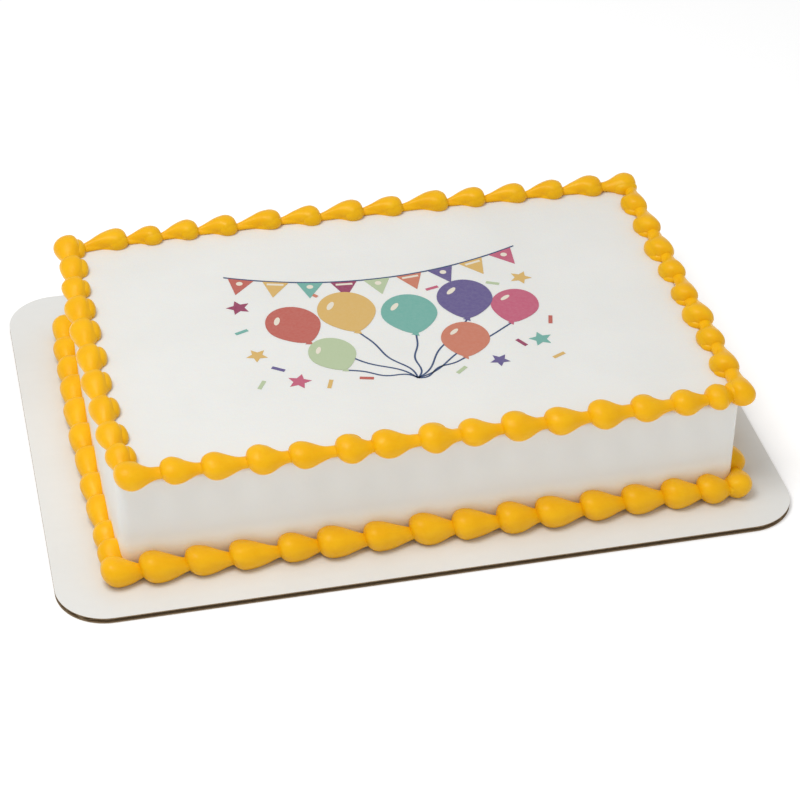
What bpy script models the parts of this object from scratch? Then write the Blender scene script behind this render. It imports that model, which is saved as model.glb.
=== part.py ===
"""A birthday sheet cake on its corrugated board, with two piped shell borders.

Metres, +Z up. The origin is on the table, under the middle of the board, +X runs to the
right along the cake's long front side and +Y runs to the back. The cake is an uncut iced
block. A border of round shells runs over its top edge and another round its foot, both
piped counterclockwise as seen from above: each shell starts as a round bulb and is drawn
out into a tail, and the next bulb is pressed onto that tail.
"""
import math
import random

import bmesh
import bpy
from mathutils import Matrix, Vector

# The board: a rounded rectangle of white-faced corrugated card
BOARD_LENGTH = 0.3556
BOARD_WIDTH = 0.2640
BOARD_THICKNESS = 0.0029
BOARD_CORNER = 0.0246
BOARD_CORNER_SEGMENTS = 8

# The iced block, which was set down a little off the middle of its board. Its length and
# width are taken at the corners. Between them each wall swells outward by its own amount
# at the foot, and by a share of that at the top edge.
CAKE_LENGTH = 0.2965
CAKE_WIDTH = 0.1976
CAKE_TOP = 0.0560
CAKE_CENTRE = Vector((0.0030, -0.0031, 0.0))
CAKE_EDGE_ROUND = 0.0025
CAKE_EDGE_SEGMENTS = 3
WALL_SWELL = {"front": 0.0018, "right": 0.0010, "back": 0.0018, "left": 0.0034}
TOP_SWELL_SHARE = 0.5
WALL_SEGMENTS = 4

# Pieces that touch are modelled this far apart
GAP = 0.0003

# One shell, against its bulb's half-width: how long the round end is, and how much thinner
# the neck. The tail has thinned to the neck at a share of the way to the next bulb.
HEAD_LENGTH = 0.86
TAPER_SHARE = 0.68
SHELL_SIDES = 8
SHELL_RINGS = 7
# Share of the rings that shape the bulb's round end
HEAD_SHARE = 3 / 7

# A hand does not pipe two shells alike: the largest differences from the rule
PLACE_SPREAD = 0.0022
OFFSET_SPREAD = 0.0004
SIZE_SPREAD = 0.065

# Each border: what its shells lie on, their height against their width, the neck against
# the bulb, how far the necks sink below the bulbs, and its four runs. Of each run: the
# number of shells, the first bulb's distance from the cake's corner where the run starts
# and the last one's from the next corner, how far the line lies outside the cake's corners
# at its middle and how far its two ends bow back in, the height of the bulbs' middles above
# what they lie on, their half-width, how far the hand falls behind a regular beat before
# the middle and runs ahead of it after, and the seed of the unevenness.
TOP_BORDER = {
    "name": "top_border",
    "base": CAKE_TOP,
    "flatness": 0.77,
    "neck": 0.35,
    "neck_drop": 0.0005,
    "runs": (
        {"shells": 15, "first": 0.0059, "last": 0.0098, "line": 0.0003, "bow": (0.0012, 0.0022),
         "rise": 0.0028, "radius": 0.0080, "sway": 0.0007, "seed": 2742612},
        {"shells": 9, "first": 0.0029, "last": 0.0246, "line": 0.0002, "bow": (0.0004, 0.0),
         "rise": 0.0026, "radius": 0.0070, "sway": -0.0016, "seed": 2612912},
        {"shells": 14, "first": 0.0008, "last": 0.0258, "line": 0.0005, "bow": (0.0045, 0.0040),
         "rise": 0.0026, "radius": 0.0068, "sway": 0.0048, "seed": 368249},
        {"shells": 10, "first": 0.0048, "last": 0.0170, "line": -0.0006, "bow": (0.0015, 0.0070),
         "rise": 0.0026, "radius": 0.0077, "sway": 0.0031, "seed": 529207},
    ),
}
BASE_BORDER = {
    "name": "base_border",
    "base": BOARD_THICKNESS,
    "flatness": 0.885,
    "neck": 0.44,
    "neck_drop": 0.0014,
    "runs": (
        {"shells": 15, "first": -0.0037, "last": 0.0116, "line": 0.0056, "bow": (0.0, 0.0010),
         "rise": 0.0055, "radius": 0.0082, "sway": 0.0020, "seed": 2181049},
        {"shells": 10, "first": -0.0050, "last": 0.0128, "line": 0.0050, "bow": (0.0030, 0.0030),
         "rise": 0.0055, "radius": 0.0076, "sway": 0.0030, "seed": 570},
        {"shells": 15, "first": -0.0018, "last": 0.0060, "line": 0.0050, "bow": (0.0025, 0.0025),
         "rise": 0.0055, "radius": 0.0077, "sway": 0.0, "seed": 11},
        {"shells": 11, "first": 0.0041, "last": 0.0055, "line": 0.0058, "bow": (0.0015, 0.0030),
         "rise": 0.0055, "radius": 0.0078, "sway": 0.0015, "seed": 2414642},
    ),
}

CARD_WHITE = (0.80, 0.79, 0.76)
ICING_WHITE = (0.84, 0.83, 0.79)
BORDER_YELLOW = (0.95, 0.46, 0.02)


def clear_scene():
    """Start from an empty scene."""
    for thing in list(bpy.data.objects):
        bpy.data.objects.remove(thing, do_unlink=True)


def make_material(name, colour, roughness):
    """A plain surface in the real piece's colour."""
    material = bpy.data.materials.new(name)
    material.use_nodes = True
    shader = material.node_tree.nodes["Principled BSDF"]
    shader.inputs["Base Color"].default_value = (*colour, 1.0)
    shader.inputs["Roughness"].default_value = roughness
    shader.inputs["Metallic"].default_value = 0.0
    return material


def add_object(name, bm, material=None):
    """Turn a bmesh into a named object of the scene."""
    mesh = bpy.data.meshes.new(name)
    bm.to_mesh(mesh)
    bm.free()
    if material is not None:
        mesh.materials.append(material)
    thing = bpy.data.objects.new(name, mesh)
    bpy.context.scene.collection.objects.link(thing)
    return thing


def shade_round(thing, sharp_angle):
    """Shade a piece smooth, with edges sharper than the angle left crisp."""
    thing.data.shade_smooth()
    thing.data.set_sharp_from_angle(angle=math.radians(sharp_angle))


def board_mesh():
    """A flat rectangle with its corners rounded, raised to the board's thickness."""
    bm = bmesh.new()
    bmesh.ops.create_grid(bm, x_segments=1, y_segments=1, size=0.5)
    bmesh.ops.scale(bm, vec=(BOARD_LENGTH, BOARD_WIDTH, 1.0), verts=bm.verts)
    bmesh.ops.bevel(
        bm, geom=bm.verts[:], offset=BOARD_CORNER, segments=BOARD_CORNER_SEGMENTS,
        profile=0.5, affect="VERTICES", material=-1,
    )
    raised = bmesh.ops.extrude_face_region(bm, geom=bm.faces[:])["geom"]
    raised_verts = [item for item in raised if isinstance(item, bmesh.types.BMVert)]
    bmesh.ops.translate(bm, vec=(0.0, 0.0, BOARD_THICKNESS), verts=raised_verts)
    bmesh.ops.recalc_face_normals(bm, faces=bm.faces)
    return bm


def cake_corners():
    """The four corners of the block's outline, in piping order from the left front one."""
    half = Vector((CAKE_LENGTH / 2, CAKE_WIDTH / 2))
    signs = ((-1, -1), (1, -1), (1, 1), (-1, 1))
    return [Vector((CAKE_CENTRE.x + x * half.x, CAKE_CENTRE.y + y * half.y)) for x, y in signs]


def swell_share(share):
    """How far a wall has swollen at a share of its length: flat along the middle."""
    return 1 - (2 * share - 1) ** 4


def is_upright_corner(edge):
    """Whether an edge of the block stands upright where two walls meet."""
    upright = abs(edge.verts[0].co.z - edge.verts[1].co.z) > BOARD_THICKNESS
    return upright and edge.calc_face_angle(0.0) > math.radians(45)


def block_mesh(grow=0.0, floor=BOARD_THICKNESS + GAP):
    """The iced block: swelling walls, upright corners and top edge rounded, flat foot."""
    bm = bmesh.new()
    bmesh.ops.create_grid(bm, x_segments=1, y_segments=1, size=0.5)
    bmesh.ops.subdivide_edges(bm, edges=bm.edges[:], cuts=WALL_SEGMENTS - 1)
    raised = bmesh.ops.extrude_face_region(bm, geom=bm.faces[:])["geom"]
    raised_verts = [item for item in raised if isinstance(item, bmesh.types.BMVert)]
    bmesh.ops.translate(bm, vec=(0.0, 0.0, 1.0), verts=raised_verts)
    ceiling = CAKE_TOP + grow
    for vert in bm.verts:
        x, y, height = vert.co
        swell = 1 - (1 - TOP_SWELL_SHARE) * height
        x_swell = WALL_SWELL["right"] if x > 0 else WALL_SWELL["left"]
        y_swell = WALL_SWELL["back"] if y > 0 else WALL_SWELL["front"]
        out_x = grow + swell * x_swell * swell_share(y + 0.5)
        out_y = grow + swell * y_swell * swell_share(x + 0.5)
        vert.co = (
            CAKE_CENTRE.x + x * (CAKE_LENGTH + 4 * abs(x) * out_x),
            CAKE_CENTRE.y + y * (CAKE_WIDTH + 4 * abs(y) * out_y),
            floor + height * (ceiling - floor),
        )
    bmesh.ops.recalc_face_normals(bm, faces=bm.faces)
    middle = (floor + ceiling) / 2
    corners = [edge for edge in bm.edges if is_upright_corner(edge)]
    rim = [edge for edge in bm.edges if min(vert.co.z for vert in edge.verts) > middle]
    bmesh.ops.bevel(
        bm, geom=corners + rim, offset=CAKE_EDGE_ROUND + grow, segments=CAKE_EDGE_SEGMENTS,
        profile=0.5, affect="EDGES", material=-1,
    )
    return bm


def border_chain(border):
    """The bulbs of one border in piping order, as (middle, half-width), with seeded unevenness."""
    corners = cake_corners()
    chain = []
    for side, run in enumerate(border["runs"]):
        draw = random.Random(run["seed"])
        corner = corners[side]
        length = (corners[(side + 1) % 4] - corner).length
        along = (corners[(side + 1) % 4] - corner) / length
        outward = Vector((along.y, -along.x))
        span = length - run["first"] - run["last"]
        for step in range(run["shells"]):
            beat = step / (run["shells"] - 1)
            stray = 0.0 if step == 0 else draw.uniform(-PLACE_SPREAD, PLACE_SPREAD)
            place = run["first"] + span * beat - run["sway"] * math.sin(2 * math.pi * beat) + stray
            from_middle = 2 * place / length - 1
            bow = run["bow"][0] if from_middle < 0 else run["bow"][1]
            offset = run["line"] - bow * abs(from_middle) ** 3
            offset += draw.uniform(-OFFSET_SPREAD, OFFSET_SPREAD)
            radius = run["radius"] * (1 + draw.uniform(-SIZE_SPREAD, SIZE_SPREAD))
            spot = corner + along * place + outward * offset
            chain.append((Vector((spot.x, spot.y, border["base"] + run["rise"])), radius))
    return chain


def shell_mesh(radius, reach, border):
    """One shell along +X: a round bulb about the origin and a tail that sinks as it thins.

    The poles of a sphere become the two ends. Its rings are spread over the bulb's round
    end first, and then over the tail, which ends in the middle of the next bulb.
    """
    neck = radius * border["neck"]
    bm = bmesh.new()
    bmesh.ops.create_uvsphere(bm, u_segments=SHELL_SIDES, v_segments=SHELL_RINGS, radius=1.0)
    bmesh.ops.rotate(bm, verts=bm.verts, matrix=Matrix.Rotation(math.radians(90), 3, "Y"))
    for vert in bm.verts:
        around = Vector((0.0, vert.co.y, vert.co.z))
        if around.length > 1e-6:
            around.normalize()
        share = math.acos(max(-1.0, min(1.0, -vert.co.x))) / math.pi
        if share < HEAD_SHARE:
            turn = share / HEAD_SHARE * math.pi / 2
            along = -radius * HEAD_LENGTH * math.cos(turn)
            width = radius * math.sin(turn)
            drop = 0.0
        else:
            tail_share = (share - HEAD_SHARE) / (1 - HEAD_SHARE)
            fullness = (1 + math.cos(math.pi * min(1.0, tail_share / TAPER_SHARE))) / 2
            along = reach * tail_share
            width = neck + (radius - neck) * fullness
            drop = border["neck_drop"] * (1 - fullness)
        vert.co = Vector((along, around.y * width, around.z * width * border["flatness"] - drop))
    return bm


def apply_modifiers(thing):
    """Replace a piece's mesh by what its modifiers make of it."""
    depsgraph = bpy.context.evaluated_depsgraph_get()
    result = bpy.data.meshes.new_from_object(thing.evaluated_get(depsgraph))
    thing.modifiers.clear()
    thing.data = result


def fuse(name, pieces, material):
    """Join overlapping pieces into one closed body by a single Boolean union."""
    body = pieces[0]
    body.name = name
    others = bpy.data.collections.new(name + "_pieces")
    bpy.context.scene.collection.children.link(others)
    for piece in pieces[1:]:
        bpy.context.scene.collection.objects.unlink(piece)
        others.objects.link(piece)
    union = body.modifiers.new("union", "BOOLEAN")
    union.operation = "UNION"
    union.operand_type = "COLLECTION"
    union.collection = others
    apply_modifiers(body)
    for piece in list(others.objects):
        bpy.data.objects.remove(piece, do_unlink=True)
    bpy.data.collections.remove(others)
    body.data.materials.clear()
    body.data.materials.append(material)
    return body


def cut(body, cutter_bm):
    """Take a cutter's space out of a body."""
    cutter = add_object(body.name + "_cutter", cutter_bm)
    difference = body.modifiers.new("cut", "BOOLEAN")
    difference.operation = "DIFFERENCE"
    difference.object = cutter
    apply_modifiers(body)
    bpy.data.objects.remove(cutter, do_unlink=True)


def piped_border(border, material):
    """A whole border: its shells in a closed ring, cut back from the cake and the board."""
    chain = border_chain(border)
    shells = []
    for index, (middle, radius) in enumerate(chain):
        next_middle = chain[(index + 1) % len(chain)][0]
        run = next_middle - middle
        bm = shell_mesh(radius, run.length, border)
        heading = Matrix.Rotation(math.atan2(run.y, run.x), 4, "Z")
        bmesh.ops.transform(bm, matrix=Matrix.Translation(middle) @ heading, verts=bm.verts)
        shells.append(add_object(f"{border['name']}_shell_{index:02d}", bm))
    ring = fuse(border["name"], shells, material)
    cut(ring, block_mesh(grow=GAP, floor=0.0))
    if border["base"] == BOARD_THICKNESS:
        board = board_mesh()
        bmesh.ops.translate(board, vec=(0.0, 0.0, GAP), verts=board.verts)
        cut(ring, board)
    shade_round(ring, 60)


def build():
    """Make every piece and stand it on the board."""
    clear_scene()
    card = make_material("white_card", CARD_WHITE, 0.65)
    icing = make_material("white_icing", ICING_WHITE, 0.55)
    yellow = make_material("yellow_icing", BORDER_YELLOW, 0.42)
    board = add_object("board", board_mesh(), card)
    shade_round(board, 30)
    cake = add_object("cake", block_mesh(), icing)
    shade_round(cake, 40)
    piped_border(TOP_BORDER, yellow)
    piped_border(BASE_BORDER, yellow)


build()
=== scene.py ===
"""A birthday sheet cake on its corrugated board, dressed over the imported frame.

The sections follow the way the cake is put together: the board, the iced cake, the printed
picture, the border round the top and the border round the foot, then the room it stands in.
Lengths are in metres.
"""
import math
import random

import bmesh
import bpy
from mathutils import Matrix, Vector, noise


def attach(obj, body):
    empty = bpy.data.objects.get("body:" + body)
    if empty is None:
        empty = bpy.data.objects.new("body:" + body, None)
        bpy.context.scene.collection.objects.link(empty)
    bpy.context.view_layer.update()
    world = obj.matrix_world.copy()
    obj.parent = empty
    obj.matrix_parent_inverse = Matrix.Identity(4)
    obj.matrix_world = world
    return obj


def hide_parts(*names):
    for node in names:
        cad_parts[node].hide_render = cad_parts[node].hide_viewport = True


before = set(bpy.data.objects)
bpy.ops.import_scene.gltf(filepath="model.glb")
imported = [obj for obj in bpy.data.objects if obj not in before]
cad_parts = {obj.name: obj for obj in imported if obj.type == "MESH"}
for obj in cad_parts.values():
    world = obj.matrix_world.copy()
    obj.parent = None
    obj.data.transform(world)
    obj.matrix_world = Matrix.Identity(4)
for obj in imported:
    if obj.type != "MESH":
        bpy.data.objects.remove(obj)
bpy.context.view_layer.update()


# The board: corrugated card, cut with rounded corners. Two paper liners, the upper one
# faced white, are glued over a wavy brown sheet whose flutes run along the long side, so
# that the waves show in the short edges and dark hollows in the long ones.

BOARD_LENGTH = 0.3556
BOARD_WIDTH = 0.2640
BOARD_THICKNESS = 0.0029
BOARD_CORNER = 0.0246
LINER = 0.00042
FLUTE_PITCH = 0.0063
FLUTE_STEPS = 12
FLUTE_SETBACK = 0.0004
FLUTE_PAPER = 0.00024
BANDS_PER_METRE = 20 / (2 * math.pi)


def new_finish(name, roughness):
    """A material with its node tree, its shader and its place in the object's own space."""
    finish = bpy.data.materials.new(name)
    finish.use_nodes = True
    tree = finish.node_tree
    shader = tree.nodes["Principled BSDF"]
    shader.inputs["Roughness"].default_value = roughness
    place = tree.nodes.new("ShaderNodeTexCoord")
    return finish, tree, shader, place.outputs["Object"]


def stretched(tree, place, scale):
    """The same place, with each axis scaled, so that a pattern comes out drawn along one."""
    mapping = tree.nodes.new("ShaderNodeMapping")
    mapping.inputs["Scale"].default_value = scale
    tree.links.new(place, mapping.inputs["Vector"])
    return mapping.outputs["Vector"]


def cloudy(tree, place, scale, low, high, detail=3.0):
    """Soft noise between two values, in clouds of about 1 / scale metres."""
    clouds = tree.nodes.new("ShaderNodeTexNoise")
    clouds.inputs["Scale"].default_value = scale
    clouds.inputs["Detail"].default_value = detail
    tree.links.new(place, clouds.inputs["Vector"])
    spread = tree.nodes.new("ShaderNodeMapRange")
    spread.inputs["From Min"].default_value = 0.3
    spread.inputs["From Max"].default_value = 0.7
    spread.inputs["To Min"].default_value = low
    spread.inputs["To Max"].default_value = high
    tree.links.new(clouds.outputs["Fac"], spread.inputs["Value"])
    return spread.outputs["Result"]


def between(tree, share, first, second):
    """A colour that runs from the first to the second as the share goes from 0 to 1."""
    blend = tree.nodes.new("ShaderNodeMix")
    blend.data_type = "RGBA"
    blend.inputs["A"].default_value = (*first, 1.0)
    blend.inputs["B"].default_value = (*second, 1.0)
    tree.links.new(share, blend.inputs["Factor"])
    return blend.outputs["Result"]


def relief(tree, shader, height, depth):
    """Raise and lower the surface by up to the depth, on top of any relief it has already."""
    bump = tree.nodes.new("ShaderNodeBump")
    bump.inputs["Distance"].default_value = depth
    tree.links.new(height, bump.inputs["Height"])
    surface = shader.inputs["Normal"]
    earlier = [link.from_socket for link in tree.links if link.to_socket == surface]
    if earlier:
        tree.links.new(earlier[0], bump.inputs["Normal"])
    tree.links.new(bump.outputs["Normal"], surface)


def set_out(name, bm, finishes, slot, *nodes, sharp=180):
    """Make a bmesh a piece of the cake, in place of the CAD nodes that it stands for."""
    mesh = bpy.data.meshes.new(name)
    bm.to_mesh(mesh)
    bm.free()
    for finish in finishes:
        mesh.materials.append(finish)
    mesh.shade_smooth()
    mesh.set_sharp_from_angle(angle=math.radians(sharp))
    piece = bpy.data.objects.new(name, mesh)
    bpy.context.scene.collection.objects.link(piece)
    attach(piece, "root")
    if nodes:
        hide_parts(*nodes)


def raise_faces(bm, faces, height):
    """Extrude flat faces upwards, and give back the verts of their upper side."""
    raised = bmesh.ops.extrude_face_region(bm, geom=faces)["geom"]
    upper = [item for item in raised if isinstance(item, bmesh.types.BMVert)]
    bmesh.ops.translate(bm, vec=(0.0, 0.0, height), verts=upper)
    return upper


def card_liner(foot, white_side):
    """One flat paper liner: brown all over for 0, and white on its upper side for 1."""
    bm = bmesh.new()
    bmesh.ops.create_grid(bm, x_segments=1, y_segments=1, size=0.5)
    bmesh.ops.scale(bm, vec=(BOARD_LENGTH, BOARD_WIDTH, 1.0), verts=bm.verts)
    bmesh.ops.bevel(
        bm, geom=bm.verts[:], offset=BOARD_CORNER, segments=16, profile=0.5,
        affect="VERTICES", material=-1,
    )
    raise_faces(bm, bm.faces[:], LINER)
    bmesh.ops.translate(bm, vec=(0.0, 0.0, foot), verts=bm.verts)
    bmesh.ops.recalc_face_normals(bm, faces=bm.faces)
    for face in bm.faces:
        face.material_index = 0 if face.normal.z * white_side > 0.5 else 1
    return bm


def fluted_sheet():
    """The wavy sheet between the liners, cut back a little from their edges."""
    waves = round(BOARD_WIDTH / FLUTE_PITCH)
    bm = bmesh.new()
    bmesh.ops.create_grid(bm, x_segments=12, y_segments=waves * FLUTE_STEPS, size=0.5)
    swing = (BOARD_THICKNESS - 2 * LINER - FLUTE_PAPER) / 2
    straight = BOARD_WIDTH / 2 - BOARD_CORNER
    for vert in bm.verts:
        y = vert.co.y * (BOARD_WIDTH - 2 * FLUTE_SETBACK)
        into_corner = max(0.0, abs(y) - straight)
        cut_back = BOARD_CORNER - math.sqrt(BOARD_CORNER ** 2 - into_corner ** 2)
        half_length = BOARD_LENGTH / 2 - FLUTE_SETBACK - cut_back
        z = BOARD_THICKNESS / 2 + swing * math.sin(2 * math.pi * y / FLUTE_PITCH)
        vert.co = (vert.co.x * 2 * half_length, y, z)
    bmesh.ops.solidify(bm, geom=bm.faces[:], thickness=FLUTE_PAPER)
    bmesh.ops.translate(bm, vec=(0.0, 0.0, FLUTE_PAPER / 2), verts=bm.verts)
    bmesh.ops.recalc_face_normals(bm, faces=bm.faces)
    return bm


white_face, tree, shader, place = new_finish("white_card_face", 0.5)
shade = cloudy(tree, place, 14.0, 0.0, 1.0)
card_white = between(tree, shade, (0.765, 0.772, 0.755), (0.800, 0.806, 0.790))
tree.links.new(card_white, shader.inputs["Base Color"])
tree.links.new(cloudy(tree, place, 60.0, 0.42, 0.60), shader.inputs["Roughness"])
washboard = tree.nodes.new("ShaderNodeTexWave")
washboard.bands_direction = "Y"
washboard.inputs["Scale"].default_value = 1 / (BANDS_PER_METRE * FLUTE_PITCH)
tree.links.new(place, washboard.inputs["Vector"])
relief(tree, shader, washboard.outputs["Fac"], 0.00004)
relief(tree, shader, cloudy(tree, place, 1400.0, 0.0, 1.0), 0.00002)

brown_paper, tree, shader, place = new_finish("brown_kraft_paper", 0.85)
fibres = cloudy(tree, stretched(tree, place, (0.25, 1.0, 1.0)), 1800.0, 0.0, 1.0)
kraft = between(tree, fibres, (0.200, 0.136, 0.074), (0.330, 0.232, 0.132))
tree.links.new(kraft, shader.inputs["Base Color"])
relief(tree, shader, fibres, 0.00005)

card = [white_face, brown_paper]
set_out("board_bottom_liner", card_liner(0.0, 0), card, "white_card", sharp=30)
set_out("board_fluting", fluted_sheet(), [brown_paper], "white_card", sharp=60)
top_liner = card_liner(BOARD_THICKNESS - LINER, 1)
set_out("board_top_liner", top_liner, card, "white_card", "board", sharp=30)


# The cake: an uncut sheet of sponge under a coat of white buttercream, spread on and drawn
# smooth with a scraper. Its walls swell a little between the corners, and keep the faint
# streaks and hollows that the scraper left.

CAKE_LENGTH = 0.2965
CAKE_WIDTH = 0.1976
CAKE_TOP = 0.0560
CAKE_CENTRE = Vector((0.0030, -0.0031, 0.0))
CAKE_EDGE_ROUND = 0.0025
CAKE_CORNER_ROUND = 0.0045
WALL_SWELL = {"front": 0.0018, "right": 0.0010, "back": 0.0018, "left": 0.0034}
TOP_SWELL_SHARE = 0.5
GAP = 0.0003
CAKE_FOOT = BOARD_THICKNESS + GAP
HOLLOW_DEPTH = 0.00035
HOLLOW_LEVEL = 0.4
HOLLOW_FADE = 0.004
HOLLOWS_ALONG = 22
HOLLOWS_UP = 55


def cake_corners():
    """The four corners of the block's outline, in piping order from the left front one."""
    half = Vector((CAKE_LENGTH / 2, CAKE_WIDTH / 2))
    signs = ((-1, -1), (1, -1), (1, 1), (-1, 1))
    return [Vector((CAKE_CENTRE.x + x * half.x, CAKE_CENTRE.y + y * half.y)) for x, y in signs]


def swell_share(share):
    """How far a wall has swollen at a share of its length: flat along the middle."""
    return 1 - (2 * share - 1) ** 4


def is_sharp(edge, uprightness):
    """Whether an edge is a sharp one above the foot, and at least as upright as asked."""
    low, high = (vert.co for vert in edge.verts)
    return (
        edge.calc_face_angle(0.0) > math.radians(45)
        and abs((high - low).normalized().z) >= uprightness
        and low.z + high.z > 2 * CAKE_FOOT + 0.001
    )


def iced_block():
    """The block with swelling walls, rounded edges and the scraper's shallow hollows."""
    bm = bmesh.new()
    bmesh.ops.create_grid(bm, x_segments=60, y_segments=40, size=0.5)
    raise_faces(bm, bm.faces[:], 1.0)
    uprights = [edge for edge in bm.edges if abs(edge.verts[0].co.z - edge.verts[1].co.z) > 0.5]
    bmesh.ops.subdivide_edges(bm, edges=uprights, cuts=9)
    for vert in bm.verts:
        x, y, height = vert.co
        swell = 1 - (1 - TOP_SWELL_SHARE) * height
        x_swell = WALL_SWELL["right"] if x > 0 else WALL_SWELL["left"]
        y_swell = WALL_SWELL["back"] if y > 0 else WALL_SWELL["front"]
        out_x = swell * x_swell * swell_share(y + 0.5)
        out_y = swell * y_swell * swell_share(x + 0.5)
        vert.co = (
            CAKE_CENTRE.x + x * (CAKE_LENGTH + 4 * abs(x) * out_x),
            CAKE_CENTRE.y + y * (CAKE_WIDTH + 4 * abs(y) * out_y),
            CAKE_FOOT + height * (CAKE_TOP - CAKE_FOOT),
        )
    bmesh.ops.recalc_face_normals(bm, faces=bm.faces)
    for offset, uprightness in ((CAKE_CORNER_ROUND, 0.5), (CAKE_EDGE_ROUND, 0.0)):
        edges = [edge for edge in bm.edges if is_sharp(edge, uprightness)]
        bmesh.ops.bevel(
            bm, geom=edges, offset=offset, segments=5, profile=0.5, affect="EDGES", material=-1,
        )
    bm.normal_update()
    for vert in bm.verts:
        x, y, z = vert.co
        wall = min(1.0, max(0.0, (CAKE_TOP - z) / HOLLOW_FADE))
        hollow = noise.noise(Vector((x * HOLLOWS_ALONG, y * HOLLOWS_ALONG, z * HOLLOWS_UP)))
        vert.co += vert.normal * wall * HOLLOW_DEPTH * (hollow - HOLLOW_LEVEL)
    return bm


buttercream, tree, shader, place = new_finish("white_buttercream", 0.5)
shader.inputs["Subsurface Weight"].default_value = 0.15
shader.inputs["Subsurface Radius"].default_value = (1.0, 0.8, 0.6)
shader.inputs["Subsurface Scale"].default_value = 0.004
shade = cloudy(tree, place, 18.0, 0.0, 1.0)
axes = tree.nodes.new("ShaderNodeSeparateXYZ")
tree.links.new(place, axes.inputs["Vector"])
# Painted bounce light: low on the wall the icing's colour is painted paler and warmer. It stands in
# for the light that the yellow shells throw on it, and lifts the shade where they meet the wall.
painted_bounce_share = tree.nodes.new("ShaderNodeMapRange")
painted_bounce_share.interpolation_type = "SMOOTHSTEP"
painted_bounce_share.inputs["From Min"].default_value = 0.025
painted_bounce_share.inputs["From Max"].default_value = 0.011
painted_bounce_share.inputs["To Max"].default_value = 1.0
tree.links.new(axes.outputs["Z"], painted_bounce_share.inputs["Value"])
painted_bounce_glow = tree.nodes.new("ShaderNodeMix")
painted_bounce_glow.data_type = "RGBA"
painted_bounce_glow.inputs["B"].default_value = (1.0, 1.0, 0.93, 1.0)
tree.links.new(painted_bounce_share.outputs["Result"], painted_bounce_glow.inputs["Factor"])
icing_white = between(tree, shade, (0.800, 0.800, 0.770), (0.830, 0.830, 0.800))
tree.links.new(icing_white, painted_bounce_glow.inputs["A"])
tree.links.new(painted_bounce_glow.outputs["Result"], shader.inputs["Base Color"])
tree.links.new(cloudy(tree, place, 90.0, 0.42, 0.60), shader.inputs["Roughness"])
relief(tree, shader, cloudy(tree, place, 16.0, 0.0, 1.0, 2.0), 0.0006)
streaks = cloudy(tree, stretched(tree, place, (0.10, 1.0, 1.0)), 240.0, 0.0, 1.0)
relief(tree, shader, streaks, 0.00006)
relief(tree, shader, cloudy(tree, place, 1100.0, 0.0, 1.0), 0.00003)

set_out("iced_cake", iced_block(), [buttercream], "white_icing", "cake", sharp=60)


# The picture on top: flat fields of food colour, printed straight onto the set icing. It
# is a plain party scene: a garland of pennants over a bunch of balloons, with stars and
# confetti round them.

PRINT_THICKNESS = 0.00008
PRINT_LAYER = 0.00003

BRICK = (0.503, 0.112, 0.084)
TERRACOTTA = (0.578, 0.188, 0.114)
OCHRE = (0.680, 0.434, 0.127)
SAGE = (0.456, 0.552, 0.342)
TEAL = (0.156, 0.413, 0.352)
PLUM = (0.296, 0.037, 0.107)
ROSE = (0.527, 0.102, 0.181)
PURPLE = (0.117, 0.089, 0.254)
NAVY = (0.017, 0.053, 0.156)
PALE = (0.780, 0.720, 0.600)

GARLAND_LEFT = Vector((-0.071, 0.052))
GARLAND_RIGHT = Vector((0.080, 0.050))
GARLAND_SAG = 0.016
PENNANT_RADIUS = 0.0095
PENNANT_SHAPE = (0.82, 0.98)
PENNANT_DROP = 0.0047
PENNANT_STRIPE = (0.0085, 0.0016)
PENNANT_DOT = 0.0017
STRIPE_AT = 0.55
DOT_AT = 0.85
BALLOON_TIE = (0.006, -0.052)
BALLOON_NARROWING = 0.34
BALLOON_LENGTH = 1.16
BALLOON_POINT = 0.10
KNOT_AT = 1.30
KNOT_SHARE = 0.17
GLINT_SHAPE = (0.6, 1.5, 1.0)
GLINT_AT = Vector((-0.45, 0.45))
GLINT_TURN = -35
THREAD_WIDTH = 0.0009
THREAD_WAVE = 0.0022
STAR_WAIST = 0.48
CONFETTI = (0.0068, 0.0020)


def ink(picture, verts, at, turn, tint, layer):
    """Lay one flat outline on the icing, give it its thickness and its colour."""
    bmesh.ops.rotate(picture, verts=verts, matrix=Matrix.Rotation(math.radians(turn), 3, "Z"))
    foot = CAKE_TOP + PRINT_LAYER * layer - PRINT_THICKNESS
    bmesh.ops.translate(picture, verts=verts, vec=(at[0], at[1], foot))
    flat = list({face for vert in verts for face in vert.link_faces})
    upper = raise_faces(picture, flat, 2 * PRINT_THICKNESS)
    colour = picture.verts.layers.float_color["tint"]
    for vert in verts + upper:
        vert[colour] = (*tint, 1.0)


def disc(picture, radius, sides):
    """The verts of a flat round or many-sided outline about the origin."""
    return bmesh.ops.create_circle(picture, cap_ends=True, segments=sides, radius=radius)["verts"]


def bar(picture, size, at, turn, tint, layer):
    """A straight strip, such as a confetti paper or a stripe."""
    verts = bmesh.ops.create_grid(picture, x_segments=1, y_segments=1, size=0.5)["verts"]
    bmesh.ops.scale(picture, vec=(*size, 1.0), verts=verts)
    ink(picture, verts, at, turn, tint, layer)


def thread(picture, start, end, layer, sag=0.0, wave=0.0):
    """A thin drawn line between two points, sagging at its middle or waving along its way."""
    verts = bmesh.ops.create_grid(picture, x_segments=40, y_segments=1, size=0.5)["verts"]
    run = Vector(end) - Vector(start)
    for vert in verts:
        share = vert.co.x + 0.5
        across = sag * 4 * share * (share - 1) + wave * math.sin(3 * math.pi * share) * share
        vert.co = (vert.co.x * run.length, vert.co.y * THREAD_WIDTH + across, 0.0)
    middle = (Vector(start) + Vector(end)) / 2
    ink(picture, verts, middle, math.degrees(math.atan2(run.y, run.x)), NAVY, layer)


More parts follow.
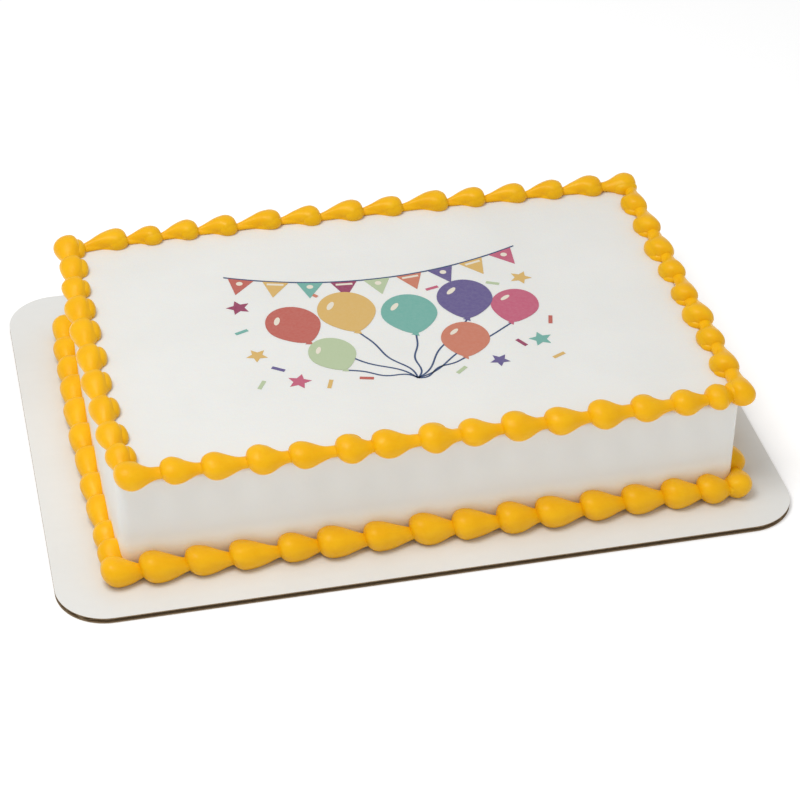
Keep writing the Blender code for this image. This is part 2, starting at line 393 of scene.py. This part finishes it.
def garland(picture, tints):
    """A sagging string of pennants, with a stripe and a dot on them by turns."""
    thread(picture, GARLAND_LEFT, GARLAND_RIGHT, 3, sag=GARLAND_SAG)
    length = (GARLAND_RIGHT - GARLAND_LEFT).length
    for step, tint in enumerate(tints):
        share = (step + 0.5) / len(tints)
        height = GARLAND_SAG * 4 * share * (share - 1)
        at = GARLAND_LEFT.lerp(GARLAND_RIGHT, share) + Vector((0.0, height))
        slope = math.atan2(GARLAND_SAG * 4 * (2 * share - 1), length)
        drop = Vector((math.sin(slope), -math.cos(slope))) * PENNANT_DROP
        turn = math.degrees(slope)
        verts = disc(picture, PENNANT_RADIUS, 3)
        for vert in verts:
            vert.co.x *= PENNANT_SHAPE[0]
            vert.co.y *= PENNANT_SHAPE[1]
        ink(picture, verts, at + drop, turn + 180, tint, 2)
        if step % 2:
            bar(picture, PENNANT_STRIPE, at + drop * STRIPE_AT, turn, PALE, 3)
        else:
            dot = disc(picture, PENNANT_DOT, 16)
            ink(picture, dot, at + drop * DOT_AT, turn, PALE, 3)


def balloon(picture, at, size, turn, tint, layer):
    """A balloon with its knot, a pale window of light and a thread down to the tie."""
    verts = disc(picture, size, 48)
    for vert in verts:
        low = max(0.0, -vert.co.y / size)
        vert.co.x *= 1 - BALLOON_NARROWING * low ** 2
        vert.co.y *= BALLOON_LENGTH + BALLOON_POINT * low
    ink(picture, verts, at, turn, tint, layer)
    tilt = math.radians(turn)
    foot = Vector(at) + Vector((math.sin(tilt), -math.cos(tilt))) * size * KNOT_AT
    knot = disc(picture, size * KNOT_SHARE, 3)
    ink(picture, knot, foot, turn + 90, tint, 3)
    glint = disc(picture, size * KNOT_SHARE, 20)
    bmesh.ops.scale(picture, vec=GLINT_SHAPE, verts=glint)
    aside = Vector(at) + Matrix.Rotation(tilt, 2) @ GLINT_AT * size
    ink(picture, glint, aside, turn + GLINT_TURN, PALE, layer + 2)
    thread(picture, foot, BALLOON_TIE, 1, wave=THREAD_WAVE)


def party_picture():
    """The whole picture, in its place on the icing."""
    picture = bmesh.new()
    picture.verts.layers.float_color.new("tint")
    garland(picture, (BRICK, OCHRE, TEAL, PLUM, SAGE, TERRACOTTA, PURPLE, OCHRE, ROSE))
    balloons = (
        (-0.044, 0.004, 0.0135, 16, BRICK), (-0.016, 0.010, 0.0145, 6, OCHRE),
        (0.014, 0.002, 0.0140, -2, TEAL), (0.044, 0.009, 0.0140, -9, PURPLE),
        (0.067, -0.002, 0.0120, -20, ROSE), (-0.030, -0.024, 0.0115, 14, SAGE),
        (0.036, -0.025, 0.0120, -12, TERRACOTTA),
    )
    for step, (x, y, size, turn, tint) in enumerate(balloons):
        balloon(picture, (x, y), size, turn, tint, 4 + step % 2)
    stars = (
        (-0.068, 0.024, 0.0062, 10, PLUM), (0.076, 0.021, 0.0058, 40, OCHRE),
        (-0.066, -0.018, 0.0055, 25, OCHRE), (0.072, -0.033, 0.0060, 5, TEAL),
        (-0.050, -0.043, 0.0060, 50, ROSE), (0.048, -0.046, 0.0052, 30, PURPLE),
    )
    for x, y, radius, turn, tint in stars:
        verts = disc(picture, radius, 10)
        for vert in verts[1::2]:
            vert.co *= STAR_WAIST
        ink(picture, verts, (x, y), turn, tint, 1)
    confetti = (
        (-0.070, 0.003, 20, TEAL), (-0.058, -0.031, -35, PURPLE), (-0.036, -0.048, 70, OCHRE),
        (-0.018, -0.047, -15, BRICK), (0.028, -0.050, 40, SAGE), (0.062, -0.034, -60, PLUM),
        (0.081, -0.018, 75, BRICK), (0.061, 0.019, -25, SAGE), (0.030, 0.021, 15, ROSE),
        (-0.030, 0.028, -50, TERRACOTTA), (0.077, -0.048, 25, OCHRE), (-0.068, -0.042, 60, SAGE),
    )
    for x, y, turn, tint in confetti:
        bar(picture, CONFETTI, (x, y), turn, tint, 1)
    bmesh.ops.recalc_face_normals(picture, faces=picture.faces)
    return picture


printed, tree, shader, place = new_finish("printed_food_colour", 0.5)
tint = tree.nodes.new("ShaderNodeAttribute")
tint.attribute_name = "tint"
speckle = cloudy(tree, place, 700.0, 0.0, 0.05)
faded = tree.nodes.new("ShaderNodeMix")
faded.data_type = "RGBA"
faded.inputs["B"].default_value = (0.80, 0.78, 0.74, 1.0)
tree.links.new(speckle, faded.inputs["Factor"])
tree.links.new(tint.outputs["Color"], faded.inputs["A"])
tree.links.new(faded.outputs["Result"], shader.inputs["Base Color"])
relief(tree, shader, cloudy(tree, place, 1100.0, 0.0, 1.0), 0.00003)

set_out("party_picture", party_picture(), [printed], "printed_icing", sharp=60)


# The top border: yellow buttercream, piped through a round tip in one chain of shells along
# the cake's edge. Each starts as a bulb that is pushed back over the last one's tail, and
# is drawn out forward and down. On the cake's side it ends in a blunt fold.

HEAD_LENGTH = 0.86
HEAD_SHARE = 3 / 7
SHELL_SIDES = 32
SHELL_RINGS = 38
FOLD_SIDES = 24
FOLD_RINGS = 18
PLACE_SPREAD = 0.0022
OFFSET_SPREAD = 0.0004
SIZE_SPREAD = 0.065
LEAN_SPREAD = 0.08
FOLD_SPREAD = (0.94, 1.04)
ROLL_SPREAD = 7
LIP_HEIGHT = 0.05
LIP_TURN = 0.75
LIP_BREADTH = 0.3
INNER_SQUEEZE = 0.10
FACET_ACROSS = 0.82
FACET_UP = 0.57
FOOT_FOLD = ((-0.49, 0.52), (0.08, 0.70), (-0.27, 0.38))
RIPPLE_DEPTH = 0.00022
RIPPLE_SCALE = 150

PLAIN_SHELL = {
    "taper": 0.68,        # the share of the tail in which it narrows down to the neck
    "fold": 0.32,         # how much sooner it does so on the inner side, the cake's
    "flatness": 0.77,     # its height over its width
    "neck": 0.38,         # the neck's half-width over the bulb's
    "neck_drop": 0.0012,  # how far the neck lies below the bulb's middle
    "neck_aside": 0.0,    # how far it lies to the inner side
    "lean": 0.0,          # how far the bulb leans back with its height
    "skew": 0.0,          # how far its inner side is pushed forward
    "facet": 0.0,         # how deep the bulb is flattened above on the inner side
    "cheek": ((0.06, 0.82), (0.41, 0.56), (-0.03, 0.77)),  # the inner fold, as in press_out
    "foot": False,        # whether a second fold shows under the bulb
    "shift": 0.0,         # how far it is moved along the run
    "swell": 1.0,         # its width over the others'
    "opening": {},        # what differs in the first shell of a run
}

# Each run names its shells, how far the first and the last are from the corners, how far
# their line lies outside the cake's edge and how far each half of it bows in at its end, the
# height and the half-width of the bulbs, how unevenly they are spaced, and the seed of their
# small differences. The runs go round from the front to the right, the back and the left.
TOP_BORDER = {
    "name": "top_piped_border",
    "base": CAKE_TOP,
    "ridge": 0.0,
    "pressed": 0.0,
    "runs": (
        {
            **PLAIN_SHELL,
            "shells": 15, "first": 0.0059, "last": 0.0098, "line": 0.0003, "bow": (0.0012, 0.0022),
            "rise": 0.0028, "radius": 0.0080, "sway": 0.0007, "seed": 2742612,
            "flatness": 0.79, "neck": 0.41, "neck_drop": 0.0003, "lean": 0.15,
        },
        {
            **PLAIN_SHELL,
            "shells": 9, "first": 0.0029, "last": 0.0246, "line": 0.0002, "bow": (0.0004, 0.0),
            "rise": 0.0026, "radius": 0.0070, "sway": -0.0016, "seed": 2612912,
            "flatness": 0.87, "neck": 0.48, "neck_drop": 0.0008, "neck_aside": -0.0019,
            "skew": 0.28, "foot": True,
            "opening": {"swell": 1.06, "neck": 0.54, "facet": 0.15, "foot": False},
        },
        {
            **PLAIN_SHELL,
            "shells": 14, "first": 0.0008, "last": 0.0258, "line": 0.0005, "bow": (0.0045, 0.0040),
            "rise": 0.0026, "radius": 0.0068, "sway": 0.0048, "seed": 368249,
            "taper": 0.92, "fold": 0.68, "neck": 0.30, "neck_drop": 0.0014, "neck_aside": 0.0006,
            "cheek": ((-0.12, 0.74), (0.39, 0.57), (-0.03, 0.79)),
            "opening": {
                "shift": -0.0020, "swell": 1.08, "taper": 0.68, "fold": 0.15, "neck": 0.42,
                "neck_drop": 0.0004, "cheek": ((0.04, 0.92), (0.46, 0.58), (-0.03, 0.80)),
            },
        },
        {
            **PLAIN_SHELL,
            "shells": 10, "first": 0.0048, "last": 0.0170, "line": -0.0006, "bow": (0.0015, 0.0070),
            "rise": 0.0026, "radius": 0.0077, "sway": 0.0031, "seed": 529207,
            "fold": 0.12, "neck_aside": -0.0012, "lean": 0.10, "skew": 0.10, "facet": 0.20,
            "cheek": ((-0.06, 0.80), (0.50, 0.46), (-0.10, 0.70)),
            "opening": {"swell": 1.05},
        },
    ),
}


def border_chain(border):
    """The bulbs of one border in piping order, as (middle, half-width, shell)."""
    corners = cake_corners()
    chain = []
    for side, run in enumerate(border["runs"]):
        draw = random.Random(run["seed"])
        corner = corners[side]
        length = (corners[(side + 1) % 4] - corner).length
        along = (corners[(side + 1) % 4] - corner) / length
        outward = Vector((along.y, -along.x))
        span = length - run["first"] - run["last"]
        for step in range(run["shells"]):
            beat = step / (run["shells"] - 1)
            stray = 0.0 if step == 0 else draw.uniform(-PLACE_SPREAD, PLACE_SPREAD)
            place = run["first"] + span * beat - run["sway"] * math.sin(2 * math.pi * beat) + stray
            from_middle = 2 * place / length - 1
            bow = run["bow"][0] if from_middle < 0 else run["bow"][1]
            offset = run["line"] - bow * abs(from_middle) ** 3
            offset += draw.uniform(-OFFSET_SPREAD, OFFSET_SPREAD)
            radius = run["radius"] * (1 + draw.uniform(-SIZE_SPREAD, SIZE_SPREAD))
            shell = {**run, **run["opening"]} if step == 0 else run
            spot = corner + along * (place + shell["shift"]) + outward * offset
            middle = Vector((spot.x, spot.y, border["base"] + run["rise"]))
            chain.append((middle, radius * shell["swell"], shell))
    return chain


def drop_verts(bm, sides, rings):
    """The verts of a ball whose poles lie along X, the way a shell is drawn out."""
    verts = bmesh.ops.create_uvsphere(bm, u_segments=sides, v_segments=rings, radius=1.0)["verts"]
    bmesh.ops.rotate(bm, verts=verts, matrix=Matrix.Rotation(math.radians(90), 3, "Y"))
    return verts


def press_out(bm, fold, radius, flatness=1.0, skew=0.0, lean=0.0):
    """A round fold of the bulb, from its middle and its half-size along each axis."""
    for vert in drop_verts(bm, FOLD_SIDES, FOLD_RINGS):
        spread = zip(fold, vert.co)
        x, y, z = (radius * (middle + half * part) for (middle, half), part in spread)
        z *= flatness
        vert.co = Vector((x + skew * y - lean * z, y, z))


def squeeze_shell(radius, reach, border, run, uneven):
    """One shell along +X, its bulb about the origin and the cake's middle towards +Y."""
    neck = radius * run["neck"]
    lean = run["lean"] + uneven.uniform(-LEAN_SPREAD, LEAN_SPREAD)
    bm = bmesh.new()
    for vert in drop_verts(bm, SHELL_SIDES, SHELL_RINGS):
        around = Vector((0.0, vert.co.y, vert.co.z))
        if around.length > 1e-6:
            around.normalize()
        inward = max(0.0, around.y)
        share = math.acos(max(-1.0, min(1.0, -vert.co.x))) / math.pi
        if share < HEAD_SHARE:
            turn = share / HEAD_SHARE * math.pi / 2
            along = -radius * HEAD_LENGTH * math.cos(turn)
            lip = math.exp(-((turn - LIP_TURN) / LIP_BREADTH) ** 2) * max(0.0, around.z)
            width = radius * math.sin(turn) + radius * LIP_HEIGHT * lip
            fullness = 1.0
        else:
            tail_share = (share - HEAD_SHARE) / (1 - HEAD_SHARE)
            taper = run["taper"] * (1.0 - run["fold"] * inward)
            fullness = (1 + math.cos(math.pi * min(1.0, tail_share / taper))) / 2
            along = reach * tail_share
            width = neck + (radius - neck) * fullness
        crown = around.z * around.z - around.y * around.y - 2 * around.y * around.z
        width *= 1 + border["ridge"] * crown
        toward_facet = FACET_ACROSS * around.y + FACET_UP * around.z
        flat = 1.0 - run["facet"] * fullness
        if toward_facet > flat:
            width *= flat / toward_facet
        y = around.y * width * (1.0 - INNER_SQUEEZE * fullness * inward)
        rounding = 1.0 - border["pressed"] if around.y > 0.0 < around.z else 1.0
        z = math.copysign(abs(around.z) ** rounding, around.z) * width * run["flatness"]
        y += run["neck_aside"] * (1 - fullness)
        z -= run["neck_drop"] * (1 - fullness)
        along += fullness * (run["skew"] * y - lean * z)
        vert.co = Vector((along, y, z))
    plump = uneven.uniform(*FOLD_SPREAD)
    cheek = [(middle, half * plump) for middle, half in run["cheek"]]
    press_out(bm, cheek, radius, run["flatness"], run["skew"], lean)
    if run["foot"]:
        press_out(bm, FOOT_FOLD, radius, skew=run["skew"])
    roll = math.radians(uneven.uniform(-ROLL_SPREAD, ROLL_SPREAD))
    bmesh.ops.rotate(bm, verts=bm.verts, matrix=Matrix.Rotation(roll, 3, "X"))
    return bm


def piped_border(border):
    """A whole border: its shells in a closed ring, each one pressed onto the last."""
    chain = border_chain(border)
    uneven = random.Random(border["name"])
    ring = bmesh.new()
    for index, (middle, radius, run) in enumerate(chain):
        onward = chain[(index + 1) % len(chain)][0] - middle
        shell = squeeze_shell(radius, onward.length, border, run, uneven)
        heading = Matrix.Rotation(math.atan2(onward.y, onward.x), 4, "Z")
        bmesh.ops.transform(shell, matrix=Matrix.Translation(middle) @ heading, verts=shell.verts)
        shell.normal_update()
        for vert in shell.verts:
            vert.co += vert.normal * RIPPLE_DEPTH * noise.noise(vert.co * RIPPLE_SCALE)
        mesh = bpy.data.meshes.new("shell")
        shell.to_mesh(mesh)
        shell.free()
        ring.from_mesh(mesh)
        bpy.data.meshes.remove(mesh)
    return ring


yellow_cream, tree, shader, place = new_finish("yellow_buttercream", 0.35)
shader.inputs["Subsurface Weight"].default_value = 0.10
shader.inputs["Subsurface Radius"].default_value = (1.0, 0.6, 0.1)
shader.inputs["Subsurface Scale"].default_value = 0.003
shader.inputs["Specular IOR Level"].default_value = 0.28
shader.inputs["Specular Tint"].default_value = (1.0, 0.95, 0.65, 1.0)
shade = cloudy(tree, place, 120.0, 0.0, 1.0)
icing_yellow = between(tree, shade, (0.90, 0.450, 0.002), (0.95, 0.505, 0.006))
tree.links.new(icing_yellow, shader.inputs["Base Color"])
tree.links.new(cloudy(tree, place, 260.0, 0.29, 0.42), shader.inputs["Roughness"])
relief(tree, shader, cloudy(tree, place, 330.0, 0.0, 1.0), 0.00010)
relief(tree, shader, cloudy(tree, place, 2200.0, 0.0, 1.0), 0.00003)

set_out("top_piped_border", piped_border(TOP_BORDER), [yellow_cream], "yellow_icing", "top_border")


# The base border: the same yellow buttercream, piped round the foot of the cake in fuller
# shells that are pressed to the wall and to the board, and hide the joint between them. A
# soft ridge runs along each, and its section is squarer above where it meets the wall.

RESTING_GAP = 0.00005
BASE_SHELL = {
    **PLAIN_SHELL,
    "rise": 0.0055, "taper": 0.94, "flatness": 0.885, "neck": 0.44, "neck_drop": 0.0018, "lean": 0.10,
}
BASE_BORDER = {
    "name": "base_piped_border",
    "base": BOARD_THICKNESS,
    "ridge": 0.07,
    "pressed": 0.75,
    "runs": (
        {
            **BASE_SHELL,
            "shells": 15, "first": -0.0037, "last": 0.0116, "line": 0.0056, "bow": (0.0, 0.0010),
            "radius": 0.0082, "sway": 0.0020, "seed": 2181049,
            "neck": 0.36, "neck_drop": 0.0008, "lean": 0.18,
        },
        {
            **BASE_SHELL,
            "shells": 10, "first": -0.0050, "last": 0.0128, "line": 0.0050, "bow": (0.0030, 0.0030),
            "radius": 0.0076, "sway": 0.0030, "seed": 570,
        },
        {
            **BASE_SHELL,
            "shells": 15, "first": -0.0018, "last": 0.0060, "line": 0.0050, "bow": (0.0025, 0.0025),
            "radius": 0.0077, "sway": 0.0, "seed": 11,
        },
        {
            **BASE_SHELL,
            "shells": 11, "first": 0.0041, "last": 0.0055, "line": 0.0058, "bow": (0.0015, 0.0030),
            "radius": 0.0078, "sway": 0.0015, "seed": 2414642,
        },
    ),
}


def stand_on_board(bm):
    """Flatten what would sink into the board, where the soft icing spreads on the card."""
    floor = BOARD_THICKNESS + RESTING_GAP
    for vert in bm.verts:
        if vert.co.z < floor:
            vert.co.z = floor
    return bm


base_ring = stand_on_board(piped_border(BASE_BORDER))
set_out("base_piped_border", base_ring, [yellow_cream], "yellow_icing", "base_border")


# The room: a plain pale floor, a soft white sky, one large soft lamp high on the left and
# the camera at the photograph's angle.

WHITE = (1.0, 1.0, 1.0, 1.0)

floor_mesh = bmesh.new()
bmesh.ops.create_grid(floor_mesh, x_segments=1, y_segments=1, size=6.0)
mesh = bpy.data.meshes.new("floor")
floor_mesh.to_mesh(mesh)
floor_mesh.free()
paper, tree, shader, place = new_finish("pale_floor", 0.9)
shader.inputs["Base Color"].default_value = (0.95, 0.95, 0.95, 1.0)
shader.inputs["Specular IOR Level"].default_value = 0.1
shader.inputs["Emission Color"].default_value = WHITE
shader.inputs["Emission Strength"].default_value = 0.24
mesh.materials.append(paper)
floor = bpy.data.objects.new("floor", mesh)
floor.location = (0.0, 0.0, -0.0002)
bpy.context.scene.collection.objects.link(floor)

sky = bpy.data.worlds.new("soft_white_sky")
sky.use_nodes = True
sky.node_tree.nodes["Background"].inputs["Color"].default_value = WHITE
sky.node_tree.nodes["Background"].inputs["Strength"].default_value = 0.545
bpy.context.scene.world = sky
bpy.context.scene.view_settings.view_transform = "Standard"

light = bpy.data.lights.new("key_lamp", "AREA")
light.size = 0.5
light.energy = 6.4
lamp = bpy.data.objects.new("key_lamp", light)
lamp_at = Vector((-0.36, -0.18, 1.09))
cake_middle = Vector((0.0, 0.0, 0.03))
lamp.location = lamp_at
lamp.rotation_euler = (cake_middle - lamp_at).to_track_quat("-Z", "Y").to_euler()
bpy.context.scene.collection.objects.link(lamp)

CAMERA_AT = (-0.215225, -0.968664, 0.746805)
CAMERA_TURN = -0.227714
CAMERA_TILT = 0.641363
CAMERA_ROLL = 0.009730

lens = bpy.data.cameras.new("camera")
lens.lens = 110.08
lens.sensor_width = 36.0
camera = bpy.data.objects.new("camera", lens)
camera.matrix_world = (
    Matrix.Translation(CAMERA_AT)
    @ Matrix.Rotation(CAMERA_TURN, 4, "Z")
    @ Matrix.Rotation(math.pi / 2 - CAMERA_TILT, 4, "X")
    @ Matrix.Rotation(CAMERA_ROLL, 4, "Z")
)
bpy.context.scene.collection.objects.link(camera)
bpy.context.scene.camera = camera
